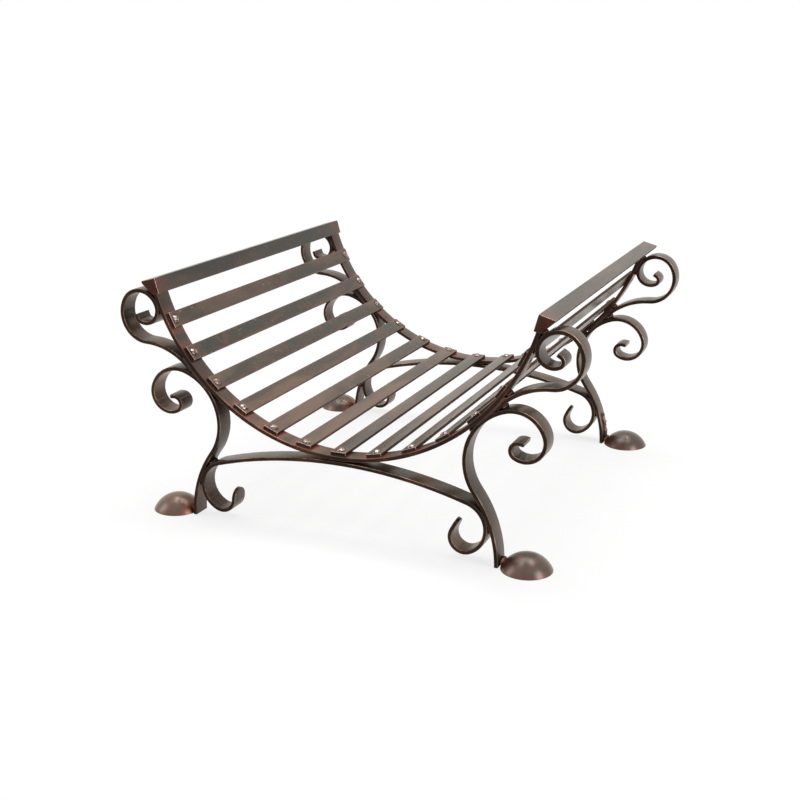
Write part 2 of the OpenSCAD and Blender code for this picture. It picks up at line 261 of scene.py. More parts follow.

# %% [markdown]
# ### Distances that the wear and painted shade follow
# Handling and hammering wear a bar by how far a point is from its edge or its end, and the painted shade
# round a rivet goes by how far a point is from that rivet, so the materials need those distances. Frame bars
# all lie between two planes across Y, so the distance from their middle line is a matter of Y alone. Slats
# lie round the rails' centre, so theirs comes from the angle about that centre.

# %% Distances on the bars, in millimetres
FRAME_Y_MM = 240.0
FRAME_WIDTH_MM = 25.0
SLAT_WIDTH_MM = 20.0
SLAT_STEP_DEGREES = 10.6731
RAIL_CENTRE_Z_MM = 363.0
SLAT_RADIUS_MM = 251.0


def from_frame_middle(tree, where):
    """Millimetres along Y from the middle line of a frame bar."""
    y = add(tree, "SeparateXYZ", {0: where}).outputs["Y"]
    side = add(tree, "Math", {0: y}, operation="ABSOLUTE")
    off = add(tree, "Math", {0: side, 1: FRAME_Y_MM * MM}, operation="SUBTRACT")
    away = add(tree, "Math", {0: off}, operation="ABSOLUTE")
    return add(tree, "Math", {0: away, 1: 1 / MM}, operation="MULTIPLY")


def from_slat_middle(tree, where):
    """Millimetres round the cradle from the middle line of the nearest slat."""
    split = add(tree, "SeparateXYZ", {0: where}).outputs
    down = add(tree, "Math", {0: RAIL_CENTRE_Z_MM * MM, 1: split["Z"]}, operation="SUBTRACT")
    angle = add(tree, "Math", {0: split["X"], 1: down}, operation="ARCTAN2")
    off = add(tree, "Math", {0: angle, 1: math.radians(SLAT_STEP_DEGREES) / 2}, operation="PINGPONG")
    return add(tree, "Math", {0: off, 1: SLAT_RADIUS_MM}, operation="MULTIPLY")


print("slats every", SLAT_STEP_DEGREES, "degrees round z =", RAIL_CENTRE_Z_MM, "mm")

# %% [markdown]
# ### Layers of wear and painted shade
# A finisher works in layers, and so does the material: rust in the smears, rust along the rubbed long
# edges, rust where a bar ends, and small pale chips, and beside these a ring of painted shade round each
# rivet. Each layer is a function that gives its share at a point, from 0 to 1. Noise is added to the
# distance, so no layer ends in a ruled line.
# A pair named SPAN holds the noise levels between which a layer sets in. A pair named SWAY holds the size
# of the noise's patches and how far they move the layer's end, both in millimetres.

# %% Layers of wear and painted shade
SMEAR_RUST_SPAN = (0.54, 0.7)
CHIP_SPAN = (0.66, 0.74)
EDGE_RUST_MM = 3.0
EDGE_SWAY = (SMEAR_MM, -14.0)
END_RUST_FROM_MM = 215.0
END_RUST_TO_MM = 246.0
END_SWAY = (14.0, 60.0)
RIVET_SHADE_FROM_MM = 5.4
RIVET_SHADE_TO_MM = 9.0
RIVET_SHADE_SWAY = (5.0, 5.0)
SLAT_RUST_FROM_MM = 10.0
SLAT_RUST_TO_MM = 22.0
SLAT_RUST_SWAY = (30.0, 26.0)


def ragged(tree, where, distance, size_mm, sway_mm):
    """A distance that sways by noise of a size, so that what follows it has a ragged end."""
    patches = add(
        tree, "TexNoise",
        {"Vector": where, "Scale": scale_of(size_mm), "Detail": 4.0, "Roughness": NOISE_ROUGHNESS},
    )
    centred = add(tree, "Math", {0: patches, 1: 0.5}, operation="SUBTRACT")
    return add(tree, "Math", {0: centred, 1: sway_mm, 2: distance}, operation="MULTIPLY_ADD")


def smear_rust(tree, where):
    """Rust that shows through in smears."""
    smears = add(
        tree, "TexNoise",
        {"Vector": where, "Scale": scale_of(SMEAR_MM), "Detail": 5.0, "Roughness": NOISE_ROUGHNESS},
    )
    return add(
        tree, "MapRange",
        {"Value": smears, "From Min": SMEAR_RUST_SPAN[0], "From Max": SMEAR_RUST_SPAN[1]},
        interpolation_type="SMOOTHSTEP",
    )


def pale_chips(stretch):
    """Small chips in the scale, drawn out along a straight bar by the rolls."""

    def share(tree, where):
        drawn = add(tree, "VectorMath", {0: where, 1: stretch}, operation="MULTIPLY")
        chips = add(
            tree, "TexNoise",
            {"Vector": drawn, "Scale": scale_of(SPECK_MM), "Detail": 2.0, "Roughness": NOISE_ROUGHNESS},
        )
        return add(
            tree, "MapRange", {"Value": chips, "From Min": CHIP_SPAN[0], "From Max": CHIP_SPAN[1]},
            interpolation_type="SMOOTHSTEP",
        )

    return share


def edge_rust(from_middle, half_width_mm):
    """Rust along both long edges of a bar, whose middle line is given by a distance function."""

    def share(tree, where):
        distance = ragged(tree, where, from_middle(tree, where), *EDGE_SWAY)
        return add(
            tree, "MapRange",
            {"Value": distance, "From Min": half_width_mm - EDGE_RUST_MM, "From Max": half_width_mm},
            interpolation_type="SMOOTHSTEP",
        )

    return share


def end_rust(tree, where):
    """Rust towards the ends of the slats and angles."""
    y = add(tree, "SeparateXYZ", {0: where}).outputs["Y"]
    side = add(tree, "Math", {0: y}, operation="ABSOLUTE")
    side_mm = add(tree, "Math", {0: side, 1: 1 / MM}, operation="MULTIPLY")
    distance = ragged(tree, where, side_mm, *END_SWAY)
    return add(
        tree, "MapRange", {"Value": distance, "From Min": END_RUST_FROM_MM, "From Max": END_RUST_TO_MM},
        interpolation_type="SMOOTHSTEP",
    )


def rivet_painted_shade(tree, where):
    """Painted shade in the corner where a rivet head meets its slat."""
    along = from_frame_middle(tree, where)
    across = from_slat_middle(tree, where)
    squared = add(tree, "Math", {0: along, 1: along}, operation="MULTIPLY")
    both_squared = add(tree, "Math", {0: across, 1: across, 2: squared}, operation="MULTIPLY_ADD")
    distance = ragged(tree, where, add(tree, "Math", {0: both_squared}, operation="SQRT"), *RIVET_SHADE_SWAY)
    return add(
        tree, "MapRange", {"Value": distance, "From Min": RIVET_SHADE_TO_MM, "From Max": RIVET_SHADE_FROM_MM},
        interpolation_type="SMOOTHSTEP",
    )


def beside_slats(tree, where):
    """Rust on a rail beside each slat, where water stays."""
    distance = ragged(tree, where, from_slat_middle(tree, where), *SLAT_RUST_SWAY)
    return add(
        tree, "MapRange", {"Value": distance, "From Min": SLAT_RUST_TO_MM, "From Max": SLAT_RUST_FROM_MM},
        interpolation_type="SMOOTHSTEP",
    )


print("layers: smears, chips, edges, ends, rivets, slats")

# %% [markdown]
# ### Heat tint round the welds
# Welding burns the steel beside each joint to a dark brown that fades over 2 to 4 cm. All welds of one end
# lie on the same side view, left and right alike, so one list of places in that view serves all four
# corners.

# %% Heat tint
WELD_PLACES_MM = [(203, 190), (188, 172), (222, 6), (252, 276), (168, 98), (178, 60), (0, 101)]
TINT_FULL_MM = 6.0
TINT_REACH_MM = 40.0
TINT_SWAY = (12.0, 26.0)


def heat_tint(tree, where):
    """Share of heat tint: 1 at a weld, 0 beyond its reach."""
    split = add(tree, "SeparateXYZ", {0: where}).outputs
    side = add(tree, "Math", {0: split["X"]}, operation="ABSOLUTE")
    seen_from_front = add(tree, "CombineXYZ", {"X": side, "Z": split["Z"]})
    nearest = None
    for x, z in WELD_PLACES_MM:
        away = add(
            tree, "VectorMath", {0: seen_from_front, 1: (x * MM, 0, z * MM)}, operation="DISTANCE",
        ).outputs["Value"]
        nearest = add(tree, "Math", {0: nearest, 1: away}, operation="MINIMUM") if nearest else away
    nearest_mm = add(tree, "Math", {0: nearest, 1: 1 / MM}, operation="MULTIPLY")
    distance = ragged(tree, where, nearest_mm, *TINT_SWAY)
    return add(
        tree, "MapRange", {"Value": distance, "From Min": TINT_REACH_MM, "From Max": TINT_FULL_MM},
        interpolation_type="SMOOTHSTEP",
    )


print("weld places:", len(WELD_PLACES_MM))

# %% [markdown]
# ### The steel itself
# Metal keeps the default IOR. Rubbed scale is half metal, half oxide, so the base is partly metallic and
# rough, and the lacquer above it is smoother. The bump is shallow: rolled bar is flat, with slight dents
# from the hammer, and its face is a little crowned across. The thin sides get darker colours, which are
# painted shade, and less shine.

# %% One patinated steel
CLOUD_STOPS = (0.38, 0.48, 0.62)
DULL_SPAN = (0.3, 0.7)
DENT_SIZE_MM = 24.0
CROWN_RADIUS_MM = 150.0
WARM_SHINE = "#E0C6A4"
RUBBED = {"Metallic": 0.6, "Coat Weight": 0.66, "Coat Roughness": 0.24}
UNRUBBED = {"Metallic": 0.5, "Specular IOR Level": 0.2, "Coat Weight": 0.08, "Coat Roughness": 0.3}


def lay_over(tree, where, colour, layers):
    """Mixes layers, such as wear, heat tint and painted light, each (share function, most, hex), over a
    colour.
    """
    for share_of, most, over in layers:
        share = add(tree, "Math", {0: share_of(tree, where), 1: most}, operation="MULTIPLY")
        colour = add(tree, "Mix", {0: share, 6: colour, 7: linear(over)}, data_type="RGBA").outputs[2]
    return colour


def patinated_steel(name, colours, layers, shine=RUBBED, rough=(0.42, 0.54), dent_mm=0.012, crown_of=None):
    """Mild steel with clouds of patina and the given layers of wear, tint and painted shade, under lacquer.
    """
    material, tree = start_material(name)
    where = add(tree, "TexCoord").outputs["Object"]
    wiped = add(tree, "VectorMath", {0: where, 1: WIPED_ALONG_Y}, operation="MULTIPLY")
    clouds = add(
        tree, "TexNoise",
        {"Vector": wiped, "Scale": scale_of(CLOUD_MM), "Detail": 3.0, "Roughness": NOISE_ROUGHNESS},
    )
    stops = list(zip(CLOUD_STOPS, (colours["cool"], colours["dark"], colours["mid"])))
    base = set_ramp(add(tree, "ValToRGB", {"Fac": clouds}), stops).outputs[0]
    colour = lay_over(tree, where, base, layers)
    dents = add(
        tree, "TexNoise",
        {"Vector": where, "Scale": scale_of(DENT_SIZE_MM), "Detail": 1.5, "Roughness": NOISE_ROUGHNESS},
    )
    height = add(tree, "Math", {0: dents, 1: dent_mm * MM}, operation="MULTIPLY")
    if crown_of:
        across = crown_of(tree, where)
        squared = add(tree, "Math", {0: across, 1: across}, operation="MULTIPLY")
        fall = -MM / (2 * CROWN_RADIUS_MM)
        height = add(tree, "Math", {0: squared, 1: fall, 2: height}, operation="MULTIPLY_ADD")
    bump = add(tree, "Bump", {"Height": height, "Strength": 1.0, "Distance": 1.0})
    smears = add(
        tree, "TexNoise",
        {"Vector": where, "Scale": scale_of(SMEAR_MM), "Detail": 5.0, "Roughness": NOISE_ROUGHNESS},
    )
    dull = add(
        tree, "MapRange",
        {
            "Value": smears, "From Min": DULL_SPAN[0], "From Max": DULL_SPAN[1],
            "To Min": rough[0], "To Max": rough[1],
        },
    )
    steel = add(
        tree, "BsdfPrincipled",
        {
            "Base Color": colour, "Roughness": dull, "Normal": bump, "Coat Normal": bump,
            "Specular Tint": linear(WARM_SHINE), **shine,
        },
    )
    add(tree, "OutputMaterial", {"Surface": steel})
    return material


print("rubbed:", RUBBED, "unrubbed:", UNRUBBED)

# %% [markdown]
# Each kind of bar now gets its own mix of layers. Slats wear at their edges and ends and get painted shade
# round their rivets. Frame bars wear at their edges and carry heat tint, and the rails rust beside each
# slat.

# %% The steels of the bars
CHIP = "#927362"
LACQUERED = {**RUBBED, "Specular IOR Level": 0.25, "Coat Weight": 0.68}
BURNT = "#25140C"
# The dark colour below is the painted shade in the ring round each rivet head.
RIVET_PAINTED_SHADE = "#261813"
RAIL_RUST = "#6A3529"
SLAT_END = "#74503F"
ANGLE_END = "#542D25"
long_chips = pale_chips(ROLLED_ALONG_Y)
round_chips = pale_chips((1, 1, 1))
slat_edges = edge_rust(from_slat_middle, SLAT_WIDTH_MM / 2)
frame_edges = edge_rust(from_frame_middle, FRAME_WIDTH_MM / 2)

slat = PATINA["slat"]
slat_steel = patinated_steel(
    "hot_rolled_steel_slats", slat,
    [
        (smear_rust, 0.45, slat["rust"]), (slat_edges, 0.45, slat["rust"]), (end_rust, 0.4, SLAT_END),
        (rivet_painted_shade, 0.75, RIVET_PAINTED_SHADE), (long_chips, 0.6, CHIP),
    ],
    shine=LACQUERED, crown_of=from_slat_middle,
)
angle = PATINA["angle"]
angle_steel = patinated_steel(
    "hot_rolled_steel_angles", angle,
    [(smear_rust, 0.4, angle["rust"]), (end_rust, 0.8, ANGLE_END), (long_chips, 0.25, CHIP)],
    shine=LACQUERED,
)
bar = PATINA["frame"]
bar_layers = [(smear_rust, 0.5, bar["rust"]), (frame_edges, 0.65, bar["rust"])]
last_layers = [(heat_tint, 0.85, BURNT), (round_chips, 0.35, CHIP)]
frame_steel = patinated_steel(
    "hot_rolled_steel_frame", bar, bar_layers + last_layers, dent_mm=0.06, crown_of=from_frame_middle,
)
rail_steel = patinated_steel(
    "hot_rolled_steel_rail", bar, bar_layers + [(beside_slats, 0.75, RAIL_RUST)] + last_layers,
    crown_of=from_frame_middle,
)
plate = PATINA["plate"]
plate_steel = patinated_steel(
    "heat_browned_steel_plate", plate,
    [(smear_rust, 0.5, plate["rust"]), (heat_tint, 0.5, BURNT)], shine=UNRUBBED,
)
print("steels:", slat_steel.name, angle_steel.name, frame_steel.name, rail_steel.name, plate_steel.name)

# %% The steels of the thin sides, darkened as painted shade


def painted_shade_side_steel(name, colours):
    """Darker steel on the thin sides of a bar, its darkness painted shade, burnt at the welds."""
    layers = [(smear_rust, 0.6, colours["rust"]), (heat_tint, 0.9, BURNT)]
    return patinated_steel(name, colours, layers, shine=UNRUBBED, rough=(0.5, 0.62), dent_mm=0.03)


shaded_rail_side = painted_shade_side_steel("painted_shade_rail_side", PATINA["rail side in painted shade"])
shaded_frame_side = painted_shade_side_steel("painted_shade_frame_side", PATINA["frame side in painted shade"])
shaded_slat_side = painted_shade_side_steel("painted_shade_slat_side", PATINA["slat side in painted shade"])
print("side steels:", shaded_rail_side.name, shaded_frame_side.name, shaded_slat_side.name)

# %% [markdown]
# ### The domes
# Each foot is sheet steel pressed to a dome, then polished more than the bars, so a soft window of light
# sits on it. Its rim stays unpolished and shows rust red near the floor, and an orange-brown burn spreads
# from the weld that joins it to its leg.

# %% Steel of the domes
DOME_RIM_MM = 8.0
DOME_RIM_SWAY = (9.0, 16.0)
DOME_WELD_X_MM = 207.0
DOME_BURN_FULL_MM = 5.0
DOME_BURN_REACH_MM = 19.0
DOME_BURN_SWAY = (8.0, 12.0)
DOME_BURN = "#6C3114"
DOME_DENT_MM = 0.5
POLISHED = {"Metallic": 0.7, "Coat Weight": 1.0, "Coat Roughness": 0.3}


def dome_rim(tree, where):
    """Rust at the dome's rim, by height above the floor."""
    z = add(tree, "SeparateXYZ", {0: where}).outputs["Z"]
    up_mm = add(tree, "Math", {0: z, 1: 1 / MM}, operation="MULTIPLY")
    distance = ragged(tree, where, up_mm, *DOME_RIM_SWAY)
    return add(
        tree, "MapRange", {"Value": distance, "From Min": DOME_RIM_MM, "From Max": 0.0},
        interpolation_type="SMOOTHSTEP",
    )


def dome_burn(tree, where):
    """Orange-brown burn on the dome, close to its weld."""
    x = add(tree, "SeparateXYZ", {0: where}).outputs["X"]
    side = add(tree, "Math", {0: x}, operation="ABSOLUTE")
    past_weld = add(tree, "Math", {0: side, 1: DOME_WELD_X_MM * MM}, operation="SUBTRACT")
    past_weld_mm = add(tree, "Math", {0: past_weld, 1: 1 / MM}, operation="MULTIPLY")
    distance = ragged(tree, where, past_weld_mm, *DOME_BURN_SWAY)
    return add(
        tree, "MapRange", {"Value": distance, "From Min": DOME_BURN_REACH_MM, "From Max": DOME_BURN_FULL_MM},
        interpolation_type="SMOOTHSTEP",
    )


dome = PATINA["dome"]
dome_steel = patinated_steel(
    "pressed_sheet_steel_dome", dome,
    [(smear_rust, 0.35, dome["rust"]), (dome_rim, 0.5, dome["rust"]), (dome_burn, 0.85, DOME_BURN)],
    shine=POLISHED, rough=(0.34, 0.4), dent_mm=DOME_DENT_MM,
)
print("dome finish:", dome_steel.name)

# %% [markdown]
# ### Rubbed arris, with painted highlight
# The very edge of a bar is rubbed brighter than its faces, and its pale colour also paints the highlight
# that light puts along a rounded edge. The bevel that softens each edge gets this steel. It is bare, so it
# is more metallic, and brighter in patches as long as a thumb. Close to a weld the edge is burnt as dark as
# the faces beside it.

# %% Steel of the rubbed arris, with painted highlight
ARRIS_PATCH_MM = 26.0
ARRIS_STOPS = (0.42, 0.68)
BARE_SHINE = {"Metallic": 0.7, "Coat Weight": 0.4, "Coat Roughness": 0.25}
END_EDGE_FROM_MM = 245.0
END_EDGE_FADE_MM = 2.0
END_EDGE_RUB_AND_HIGHLIGHT = "#C4AEA0"


def pale_patched_steel(name, pale_colour, dull, size_mm=ARRIS_PATCH_MM, rough=0.38, layers=()):
    """Bare, worn steel, brighter in patches; on the arris the pale patches are also painted highlight."""
    material, tree = start_material(name)
    where = add(tree, "TexCoord").outputs["Object"]
    patches = add(
        tree, "TexNoise",
        {"Vector": where, "Scale": scale_of(size_mm), "Detail": 3.0, "Roughness": NOISE_ROUGHNESS},
    )
    stops = list(zip(ARRIS_STOPS, (dull, pale_colour)))
    patched = set_ramp(add(tree, "ValToRGB", {"Fac": patches}), stops).outputs[0]
    colour = lay_over(tree, where, patched, layers)
    steel = add(tree, "BsdfPrincipled", {"Base Color": colour, "Roughness": rough, **BARE_SHINE})
    add(tree, "OutputMaterial", {"Surface": steel})
    return material


def end_edges_rubbed_and_highlit(tree, where):
    """The last few millimetres of the slats and angles, rubbed bare by hands and logs, with a painted
    highlight on their end edges.
    """
    y = add(tree, "SeparateXYZ", {0: where}).outputs["Y"]
    side = add(tree, "Math", {0: y}, operation="ABSOLUTE")
    end_edge_from, end_edge_to = END_EDGE_FROM_MM * MM, (END_EDGE_FROM_MM + END_EDGE_FADE_MM) * MM
    return add(tree, "MapRange", {"Value": side, "From Min": end_edge_from, "From Max": end_edge_to})


burnt_edge = [(heat_tint, 0.9, BURNT)]
# The pale arris colours are rubbed steel and painted highlight along the edges.
frame_worn_highlit_arris = pale_patched_steel("rubbed_highlit_steel_frame_edge", "#BCA58F", "#3A2D25", layers=burnt_edge)
rail_worn_highlit_arris = pale_patched_steel("rubbed_highlit_steel_rail_edge", "#7E5A49", "#33211A", layers=burnt_edge)
slat_worn_highlit_arris = pale_patched_steel("rubbed_highlit_steel_slat_edge", "#8C766A", "#3E3028", layers=[(end_edges_rubbed_and_highlit, 0.7, END_EDGE_RUB_AND_HIGHLIGHT)])
print("arris steels:", frame_worn_highlit_arris.name, rail_worn_highlit_arris.name, slat_worn_highlit_arris.name)

# %% [markdown]
# ## Bars with softened edges
# The CAD bars keep their exact shape. Each face is given the steel of a broad face or of a thin side by the
# way it looks, or on an angle by its place, since one flange's face and the other's tip look the same way.
# The thin side's darker steel is painted shade.
# A weld modifier joins the imported triangles and a planar decimate turns flat areas into single faces, so
# that the bevel has clean edges to work on. The bevel softens each sharp edge by about half a millimetre,
# as a file does, and its faces take the rubbed steel, whose pale colour is partly painted highlight.

# %% Dress the CAD bars
JOIN_MM = 0.002
FLAT_DEGREES = 0.05
SHARP_DEGREES = 32
SQUARE_ON = 0.7
FACE, SIDE, ARRIS = range(3)
ANGLE_TIP_X_MM = 263.0
ANGLE_TIP_Z_MM = 286.5
BAR_EDGE_MM = 0.7
FINE_EDGE_MM = 0.4


def looks_sideways(face, node_name):
    """True for a face on a thin side or end of a bar."""
    if abs(face.normal.y) > SQUARE_ON:
        return True
    if node_name.endswith("_top_angle"):
        return abs(face.center.x) > ANGLE_TIP_X_MM * MM or face.center.z < ANGLE_TIP_Z_MM * MM
    from_centre = Vector((face.center.x, 0, face.center.z - RAIL_CENTRE_Z_MM * MM)).normalized()
    return node_name.startswith("slat_") and abs(face.normal.dot(from_centre)) < SQUARE_ON


def file_edges(piece, width_mm, segments):
    """Rounds the sharp edges of a piece by a bevel, and returns it."""
    bevel = piece.modifiers.new("filed_edge", "BEVEL")
    bevel.width = width_mm * MM
    bevel.segments = segments
    bevel.limit_method = "ANGLE"
    bevel.angle_limit = math.radians(SHARP_DEGREES)
    bevel.harden_normals = True
    return bevel


def soften(node_name, steels, round_mm):
    """Gives a CAD node its steels, for faces, sides and arrises, and a filed edge."""
    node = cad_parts[node_name]
    data = node.data
    data.materials.clear()
    for steel in steels:
        data.materials.append(steel)
    kinds = [SIDE if looks_sideways(face, node_name) else FACE for face in data.polygons]
    data.polygons.foreach_set("material_index", kinds)
    data.polygons.foreach_set("use_smooth", [True] * len(data.polygons))
    if "custom_normal" in data.attributes:
        data.attributes.remove(data.attributes["custom_normal"])
    join = node.modifiers.new("join_triangles", "WELD")
    join.merge_threshold = JOIN_MM * MM
    flats = node.modifiers.new("join_flat_faces", "DECIMATE")
    flats.decimate_type = "DISSOLVE"
    flats.angle_limit = math.radians(FLAT_DEGREES)
    bevel = file_edges(node, round_mm, segments=2)
    bevel.use_clamp_overlap = False
    bevel.material = ARRIS


ends = ("front", "rear")
sides = ("left", "right")
corners = [f"{end}_{side}" for end in ends for side in sides]
frame_steels = (frame_steel, shaded_frame_side, frame_worn_highlit_arris)
for end in ends:
    soften(f"{end}_rail", (rail_steel, shaded_rail_side, rail_worn_highlit_arris), BAR_EDGE_MM)
    soften(f"{end}_arch", frame_steels, BAR_EDGE_MM)
for corner in corners:
    soften(f"{corner}_leg", frame_steels, BAR_EDGE_MM)
    soften(f"{corner}_upper_scroll", frame_steels, BAR_EDGE_MM)
    soften(f"{corner}_dome_foot", (dome_steel, dome_steel, frame_worn_highlit_arris), FINE_EDGE_MM)
for side in sides:
    soften(f"{side}_top_angle", (angle_steel, shaded_slat_side, slat_worn_highlit_arris), FINE_EDGE_MM)
slats = sorted(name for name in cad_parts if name.startswith("slat_"))
for name in slats:
    soften(name, (slat_steel, shaded_slat_side, slat_worn_highlit_arris), FINE_EDGE_MM)
print("dressed", len([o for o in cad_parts.values() if o.modifiers]), "CAD pieces")

# %% [markdown]
# ## Hammered rivet heads
# Each rivet was set hot with a hammer, so its head is a low dome with a few flats struck into it, and no
# two are alike. A sphere would look cast. Each head starts as a dome of rings, and every blow flattens the
# part of it that stands above a tilted plane.

# %% Hammer the rivets
RIVET_RADIUS_MM = 5.8
RIVET_HEIGHT_MM = 3.2
HEAD_SEAT_RADIUS_MM = 250.8
HEAD_RINGS = 9
HEAD_SPOKES = 28
BLOWS = 6
FIRST_BLOW_TILT = 0.1
BLOW_LEAN, BLOW_LEAN_SPREAD = 0.35, 0.9
BLOW_DEPTH_MM, BLOW_DEPTH_SPREAD_MM = 0.16, 0.5


def wobble(x, y, z):
    """Smooth noise at a place, within about half a unit of 0."""
    return noise.noise(Vector((x, y, z)))


def lean_over(tilt, turn):
    """Unit vector that leans from upright by a tilt, towards a turn."""
    return Vector((math.sin(tilt) * math.cos(turn), math.sin(tilt) * math.sin(turn), math.cos(tilt)))


def hammered_head(seed):
    """Points (rings of a dome, in mm, z up) of one head, flattened by hammer blows."""
    ball = (RIVET_RADIUS_MM ** 2 + RIVET_HEIGHT_MM ** 2) / (2 * RIVET_HEIGHT_MM)
    widest = math.asin(RIVET_RADIUS_MM / ball)
    centre = Vector((0, 0, RIVET_HEIGHT_MM - ball))
    blows = []
    for k in range(BLOWS):
        turn = math.tau * (k + wobble(seed, k, 0.3)) / BLOWS
        lean = BLOW_LEAN + BLOW_LEAN_SPREAD * abs(wobble(seed, k, 7.7))
        depth = BLOW_DEPTH_MM + BLOW_DEPTH_SPREAD_MM * abs(wobble(seed, k, 4.1))
        blows.append((lean_over(widest * lean if k else FIRST_BLOW_TILT, turn), ball - depth))
    points = []
    for ring in range(HEAD_RINGS + 1):
        for spoke in range(HEAD_SPOKES if ring else 1):
            p = lean_over(widest * ring / HEAD_RINGS, math.tau * spoke / HEAD_SPOKES) * ball
            if ring < HEAD_RINGS:
                for way, reach in blows:
                    p -= way * max(0.0, p.dot(way) - reach)
            points.append(centre + p)
    return points


def add_head(mesh, placing, seed):
    """Adds one closed head to a bmesh, put in place by a matrix."""
    verts = [mesh.verts.new(placing @ (p * MM)) for p in hammered_head(seed)]
    rings = [verts[:1]] + [verts[1 + HEAD_SPOKES * r:1 + HEAD_SPOKES * (r + 1)] for r in range(HEAD_RINGS)]
    for s in range(HEAD_SPOKES):
        t = (s + 1) % HEAD_SPOKES
        mesh.faces.new((rings[0][0], rings[1][s], rings[1][t]))
        for r in range(1, HEAD_RINGS):
            mesh.faces.new((rings[r][s], rings[r + 1][s], rings[r + 1][t], rings[r][t]))
    mesh.faces.new(list(reversed(rings[-1])))


def finish_piece(name, mesh, steel):
    """Turns a bmesh into a piece that rides on the root body."""
    bmesh.ops.recalc_face_normals(mesh, faces=mesh.faces)
    data = bpy.data.meshes.new(name)
    mesh.to_mesh(data)
    mesh.free()
    data.materials.append(steel)
    data.polygons.foreach_set("use_smooth", [True] * len(data.polygons))
    piece = bpy.data.objects.new(name, data)
    bpy.context.scene.collection.objects.link(piece)
    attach(piece, "root")
    return piece


print("one head has", len(hammered_head(0.0)), "points")

# %% [markdown]
# The heads are burnished by the hammer and by handling, so they are paler and pinker than the slats round
# them.

# %% Set the rivets
SLAT_COUNT = 13

rivet_steel = pale_patched_steel("hammered_steel_rivet", "#BEA89C", "#3E2A22", size_mm=2.4, rough=0.3)
for k, end in enumerate(ends):
    heads = bmesh.new()
    y = (-1 if end == "front" else 1) * FRAME_Y_MM
    for i in range(SLAT_COUNT):
        turn = math.radians((i - (SLAT_COUNT - 1) / 2) * SLAT_STEP_DEGREES)
        out = Vector((math.sin(turn), 0, -math.cos(turn))) * HEAD_SEAT_RADIUS_MM
        seat = Vector((0, y, RAIL_CENTRE_Z_MM)) + out
        placing = Matrix.Translation(seat * MM) @ Matrix.Rotation(-turn, 4, "Y")
        add_head(heads, placing, seed=10.0 * i + 3.7 * k)
    piece = finish_piece(f"{end}_hammered_rivets", heads, rivet_steel)
    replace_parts(piece, f"{end}_rivets")
print("rivets:", 2 * SLAT_COUNT)

# %% [markdown]
# ## Weld beads
# A weld is laid as a row of small puddles that overlap like coins. A smooth rod would look wrong, so each
# bead is a tube along its joint whose radius swells and shrinks with every puddle. Where each bead lies is
# read from the CAD solids that it stands for: each loose solid of a weld node is one bead, and the wide one
# under the arch's crown becomes two thin beads, one at the front and one at the back.

# %% Find the beads of a CAD node


def solids_of(node_name):
    """Lowest and highest corners of each loose solid of a CAD node."""
    mesh = bmesh.new()
    mesh.from_mesh(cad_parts[node_name].data)
    bmesh.ops.remove_doubles(mesh, verts=mesh.verts, dist=JOIN_MM * MM)
    left = set(mesh.verts)
    found = []
    while left:
        queue = [left.pop()]
        group = list(queue)
        while queue:
            for edge in queue.pop().link_edges:
                for vert in edge.verts:
                    if vert in left:
                        left.remove(vert)
                        queue.append(vert)
                        group.append(vert)
        low = Vector([min(v.co[i] for v in group) for i in range(3)])
        high = Vector([max(v.co[i] for v in group) for i in range(3)])
        found.append((low, high))
    mesh.free()
    return found


print("front rail beads:", len(solids_of("front_rail_welds")))

# %% Shape one bead
PUDDLE_MM = 2.2
BEAD_SPOKES = 14
BEAD_STEP_MM = 0.4
LEAST_STEPS = 6
# Shares of the bead's radius.
RIPPLE = 0.10
SWELL = 0.16
DRIFT = 0.25
LUMP = 0.12
LEAST_CAP = 0.08


def add_bead(mesh, start, end, radius_mm, seed):
    """Adds one closed, rippled bead from start to end, in metres, to a bmesh."""
    along = end - start
    length = along.length / MM
    way = along.normalized()
    side = way.orthogonal().normalized()
    up = way.cross(side)
    steps = max(LEAST_STEPS, int(length / BEAD_STEP_MM))
    rings = []
    for k in range(steps + 1):
        s = k / steps
        ripple = RIPPLE * math.cos(math.tau * s * length / PUDDLE_MM)
        swell = 1 + ripple + SWELL * wobble(seed, s * length / 3, 0)
        past_cap = max(0.0, radius_mm - min(s, 1 - s) * length)
        cap = math.sqrt(max(0.0, 1 - (past_cap / radius_mm) ** 2))
        r = radius_mm * MM * swell * max(LEAST_CAP, cap)
        drift = DRIFT * radius_mm * MM * wobble(seed + 5, s * length / 5, 1)
        middle = start + along * s + side * drift
        ring = []
        for j in range(BEAD_SPOKES):
            turn = math.tau * j / BEAD_SPOKES
            c, d = math.cos(turn), math.sin(turn)
            lump = 1 + LUMP * wobble(c * 1.4, d * 1.4, seed + s * length / 2)
            ring.append(mesh.verts.new(middle + (side * c + up * d) * r * lump))
        rings.append(ring)
    for one, other in zip(rings, rings[1:]):
        for j in range(BEAD_SPOKES):
            n = (j + 1) % BEAD_SPOKES
            mesh.faces.new((one[j], one[n], other[n], other[j]))
    mesh.faces.new(list(reversed(rings[0])))
    mesh.faces.new(rings[-1])


print("a puddle every", PUDDLE_MM, "mm")

# %% [markdown]
# Weld metal is bare where it was brushed and burnt beside that, from straw to orange-brown over dark scale.

# %% Weld metal
TINT_PATCH_MM = 8.0
WELD_SHINE = {"Metallic": 0.7, "Roughness": 0.36, "Coat Weight": 0.3, "Coat Roughness": 0.22}


